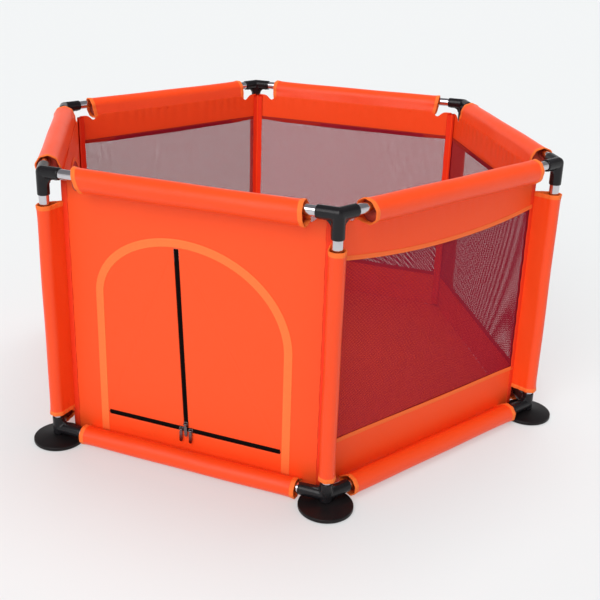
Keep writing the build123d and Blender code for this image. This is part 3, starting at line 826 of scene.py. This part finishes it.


# ------------------------------------------------------------------ tapes and bindings
# Lighter orange tape: one strip outlines the door arch, and narrow folded strips bind the
# edges of the net bands and of the arched window on both faces. On the bands' inner faces the
# tape is drawn dark red, as painted shade.
def with_ends(points, uv):
    """Closes both ends of a grid carried along a line, each with a fan to its middle."""
    first, last = (np.broadcast_to(points[k].mean(0), points[k].shape)[None] for k in (0, -1))
    return np.concatenate([first, points, last]), np.concatenate([uv[:1], uv, uv[-1:]])


def ribbon(side, line, width, out, thick=0.0008, soft=1.0, closed=False, flip=False, bulge=0.0):
    """Tape along a line of (x, z) points on a wall: a flat rounded loop in section, carried
    along the line square to it, with closed ends unless the line meets itself."""
    line = np.array(line)
    heading = np.gradient(line, axis=0)
    if closed:
        heading[0] = heading[-1] = line[1] - line[-2]
    heading /= np.linalg.norm(heading, axis=1)[:, None]
    square = np.stack([-heading[:, 1], heading[:, 0]], 1)
    half = width / 2
    loop = [(-half, 0.0), (-half, 0.5), (-half + 0.0006, 0.95), (-half * 0.5, 1.0),
            (half * 0.5, 1.0), (half - 0.0006, 0.95), (half, 0.5), (half, 0.0), (-half, 0.0)]
    offset = np.array([a for a, _ in loop])[None, :]
    rise = np.array([b for _, b in loop])[None, :] * thick * (-1 if flip else 1)
    x = line[:, :1] + square[:, :1] * offset
    z = line[:, 1:] + square[:, 1:] * offset
    run = run_along(line)
    points = wall_points(side, x, z, out + rise, soft, bulge)
    uv = np.stack(np.broadcast_arrays(run[:, None], offset + half), -1)
    if not closed:
        points, uv = with_ends(points, uv)
    if not flip:
        points, uv = points[:, ::-1], uv[:, ::-1]
    return points, uv


TAPE_W = 0.019
BINDING_W = 0.010
OUTSIDE, INSIDE = 0.0001, -0.0027        # where a tape lies, out from the walls' outer face
arch_tape = stitched("arch_tape", (0.97, 0.215, 0.050), (0.90, 0.17, 0.040),
                     rows=(0.0022, TAPE_W - 0.0022))
edge_tape = stitched("edge_tape", (0.97, 0.18, 0.035), (0.90, 0.14, 0.028), rows=(0.0022, 0.0078))
# The bands' inner tape is a darker copy of the edge tape: painted shade on the inside.
inner_tape_painted_shade = stitched("inner_edge_tape_painted_shade", (0.42, 0.020, 0.010), (0.32, 0.014, 0.008),
                      rows=(0.0022, 0.0078))
arch = arch_curve(-TAPE_W / 2)
side_x = ARCH_HALF - TAPE_W / 2
door_line = np.concatenate([stretch_of((side_x, ARCH_LOW), arch[0], 30)[:-1], arch,
                            stretch_of(arch[-1], (-side_x, ARCH_LOW), 30)[1:]])
surface("door_arch_tape", [ribbon("front", door_line, TAPE_W, OUTSIDE, soft=DOOR_SOFT)],
        arch_tape, stands_for=("arch_trim",), closed=True)

x_line = np.linspace(-WALL_HALF, WALL_HALF, 121)
outer_strips, inner_strips = [], []
for side in NET_SIDES:
    lower = np.stack([x_line, np.full_like(x_line, FOOT_BAND_EDGE - BINDING_W / 2)], 1)
    upper = np.stack([x_line, band_edge(side, x_line) + BINDING_W / 2], 1)
    for line, bulge in ((upper, BAND_BULGES[side]), (lower, 0.0)):
        outer_strips.append(ribbon(side, line, BINDING_W, OUTSIDE, bulge=bulge))
        inner_strips.append(ribbon(side, line, BINDING_W, INSIDE, flip=True, bulge=bulge))
for name, taped, tape in (("band_edge_tapes", outer_strips, edge_tape),
                          ("band_inner_tapes", inner_strips, inner_tape_painted_shade)):
    surface(name, taped, tape, stands_for=("band_bindings",), closed=True)

arch = arch_curve(WINDOW_GROW + BINDING_W / 2)
side_x, sill_z, round_off = hole + BINDING_W / 2, WINDOW_LOW - BINDING_W / 2, 0.012
turn = np.linspace(0, math.pi / 2, 8)
left_bend = np.stack([-side_x + round_off * (1 - np.cos(turn)),
                      sill_z + round_off * (1 - np.sin(turn))], 1)
right_bend = np.stack([side_x - round_off * (1 - np.sin(turn)),
                       sill_z + round_off * (1 - np.cos(turn))], 1)
window_line = np.concatenate([
    stretch_of((side_x, sill_z + round_off), arch[0], 30)[:-1], arch,
    stretch_of(arch[-1], (-side_x, sill_z + round_off), 30)[1:-1], left_bend,
    stretch_of(left_bend[-1], right_bend[0], 40)[1:-1], right_bend])
surface("window_edge_tapes", [
    ribbon("front_left", window_line, BINDING_W, OUTSIDE, closed=True),
    ribbon("front_left", window_line, BINDING_W, INSIDE, closed=True, flip=True)],
    edge_tape, stands_for=("arch_window_binding",), closed=True)

# ------------------------------------------------------------------ corner seams
# At each corner of the bag the walls meet in a seam over a cord. A strip of cloth folded
# round the corner binds it on each face and catches the edges of the walls and the nets.
PIPING_R = 0.0028
STRIP_W = 0.015                # reach of a strip on each wall, from the corner
STRIP_FOLD = 0.003             # how softly it turns the corner
STRIP_T = 0.0008
STRIP_PLACES = (0.0002, -0.0041)         # the outer and inner strips, out from the walls
seam_low, seam_high = WALL_LOW + 0.002, WALL_HIGH - 0.002
up = np.concatenate([[seam_low], np.linspace(seam_low, seam_high, 90), [seam_high]])[:, None]
ends = np.ones_like(up)
ends[[0, -1]] = 0


def corner_strip(angle, out, thick):
    """Strip folded round a corner: a hyperbola whose arms run along the two walls, out from
    them by a distance, given its thickness by going out and coming back."""
    reach = np.linspace(-STRIP_W, STRIP_W, 25)
    ease = np.clip((STRIP_W - np.abs(reach)) / 0.0015, 0, 1) ** 0.5
    loop = np.concatenate([reach, reach[::-1], reach[:1]])
    side = np.concatenate([thick * ease, 0 * ease, thick * ease[:1]])
    wave = 0.0004 * np.sin(up * 160 + angle)
    width = loop * (1 + 0.03 * np.sin(up * 73 + angle))
    lean = math.cos(math.radians(30))
    radius = (BAG_CORNER_R + (out + side + wave * np.abs(loop) / STRIP_W) / lean
              - 0.5 * np.hypot(width, STRIP_FOLD))
    points = by_corner(angle, radius, width * lean, up)
    points[[0, -1]] = points[[0, -1]].mean(1, keepdims=True)
    return points, np.stack(np.broadcast_arrays(up, loop + STRIP_W), -1)


cores, strips = [], []
turn = np.linspace(0, 2 * math.pi, 17)[None, :]
for angle in CORNERS.values():
    radius = (PIPING_R + 0.0002 * np.sin(up * 900)) * ends
    cores.append((by_corner(angle, BAG_CORNER_R - 0.0045 + radius * np.cos(turn),
                            radius * np.sin(turn), up),
                  np.stack(np.broadcast_arrays(up, turn * PIPING_R), -1)))
    strips += [corner_strip(angle, out, STRIP_T) for out in STRIP_PLACES]
surface("corner_piping_cord", cores, sleeve_cloth, stands_for=("corner_piping",),
        closed=True)
# The strips are drawn a deeper red than the walls' cloth: painted corner shade and red bounce light.
strip_cloth_painted_shade = stitched("strip_cloth_painted_shade", (0.92, 0.052, 0.010), (0.80, 0.035, 0.008),
                       rows=(0.0025, 2 * STRIP_W - 0.0025))
surface("corner_strips", strips, strip_cloth_painted_shade, closed=True)

# ------------------------------------------------------------------ floor mat
# Coated cloth sewn to the foot of the walls; it lies loose just above the floor and
# wrinkles a little everywhere but along its edges.
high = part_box("floor_mat")[1]
MAT_R = high.x + 0.0058        # sewn into the foot of the walls
mat_z = high.z
sectors = []
for angle in SIDES.values():
    share, aside = np.meshgrid(np.linspace(0, 1, 45), np.linspace(-1, 1, 45), indexing="ij")
    out = share * MAT_R * math.cos(math.radians(30))
    along = aside * out * math.tan(math.radians(30))
    flat = on_side(angle, along, out, 0.0)
    ripple = np.sin(flat[..., 0] * 21 + 1.7 * np.sin(flat[..., 1] * 13)) * np.sin(flat[..., 1] * 17)
    lift = -0.0006 + 0.0009 * ripple * np.clip((1 - share) * 6, 0, 1)
    points = on_side(angle, along, out, mat_z + lift)
    sectors.append((points, np.stack([flat[..., 0], flat[..., 1]], -1)))
mat = cloth("floor_cloth", sectors, wall_cloth, ("floor_mat",), weld=1e-5)

# ------------------------------------------------------------------ zips
# Black nylon coil zips: each half is a woven tape with a row of coil along its inner edge.
# Three cast sliders run on them, each with a hanging pull.
zip_black, tree = material("zip_black")
along, across = tree.along_across()
twill = ((along + across) * (2 * math.pi / 0.0009)).sine() * 0.5 + 0.5
dust = tree.noise(tree.object_place(), 150.0, 3)
finish_material(tree, tree.mix(twill * 0.5 + dust * 0.5, (0.0015, 0.0012, 0.0012),
                               (0.005, 0.004, 0.004)), 0.7 + dust * 0.2,
                tree.bump(twill, 0.00008, 0.5), Specular_IOR_Level=0.06)
TOOTH_PITCH = 0.0016
ROW_W, ROW_GAP = 0.0054, -0.0002   # the two coils mesh
COIL_R = 0.0011


def zip_half(start, end, toward):
    """One half of a zip from start to end, as (x, z) points: a flat tape whose inner edge
    swells into coil teeth, a bead whose radius rises and falls once a tooth."""
    start, end = np.array(start), np.array(end)
    length = float(np.linalg.norm(end - start))
    run = np.arange(0, length, TOOTH_PITCH / 4)
    line = start + (end - start) * (run / length)[:, None]
    heading = (end - start) / length
    square = np.array((-heading[1], heading[0])) * toward
    tooth = 0.84 + 0.16 * np.abs(np.sin(run * math.pi / TOOTH_PITCH))
    turn = np.linspace(math.pi, -math.pi / 2, 9)
    bead_x = ROW_GAP + COIL_R + COIL_R * np.cos(turn)
    bead_y = COIL_R * np.sin(turn)
    far = ROW_GAP + ROW_W
    offset = np.concatenate([bead_x[:6], [2.4e-3, far, far, 2.4e-3], bead_x[6:], bead_x[:1]])
    height = np.concatenate([bead_y[:6], [1.5e-4, 1e-4, -5e-4, -5e-4], bead_y[6:], bead_y[:1]])
    is_bead = np.concatenate([np.ones(6), np.zeros(4), np.ones(4)])
    lift = height[None, :] * (1 - is_bead + is_bead * tooth[:, None])
    x = line[:, :1] + square[0] * offset
    z = line[:, 1:] + square[1] * offset
    points = wall_points("front", x, z, lift - 0.0004, DOOR_SOFT)
    uv = np.stack(np.broadcast_arrays(run[:, None], offset), -1)
    points, uv = with_ends(points, uv)
    return (points, uv) if toward > 0 else (points[:, ::-1], uv[:, ::-1])


rows_low = ZIP_Z + ROW_W + 0.0004
rows_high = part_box("zip_upright_left")[1].z + 0.0015
ZIP_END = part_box("zip_level_right")[1].x + 0.0022
junction = zip_x(ZIP_Z)
level_spans = {"left": (-ZIP_END, junction - 0.0002), "right": (junction + 0.0002, ZIP_END)}
for name, toward in (("left", 1), ("right", -1)):
    near, far = level_spans[name]
    for way, row in (
            ("upright", zip_half((zip_x(rows_low), rows_low), (zip_x(rows_high), rows_high),
                                 toward)),
            ("level", zip_half((near, ZIP_Z), (far, ZIP_Z), 1))):
        half = surface(f"zip_{way}_half_{name}", [row], zip_black, body=None,
                       stands_for=(f"zip_{way}_{name}",), closed=True)
        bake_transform(half)
surface("zip_level_half_lower", [zip_half((-ZIP_END, ZIP_Z), (ZIP_END, ZIP_Z), -1)],
        zip_black, stands_for=("zip_level_lower",), closed=True)

slider_metal, tree = material("slider_metal")
place = tree.object_place()
wear = tree.noise(place, 300.0, 3)
finish_material(tree, tree.mix(wear, (0.10, 0.095, 0.10), (0.24, 0.23, 0.24)),
                0.16 + wear * 0.12, tree.bump(tree.noise(place, 1500.0, 2), 0.00004), Metallic=1.0)
for kind in ("slider", "pull"):
    for which in ("upright", "left", "right"):
        dress(f"{kind}_{which}", slider_metal)
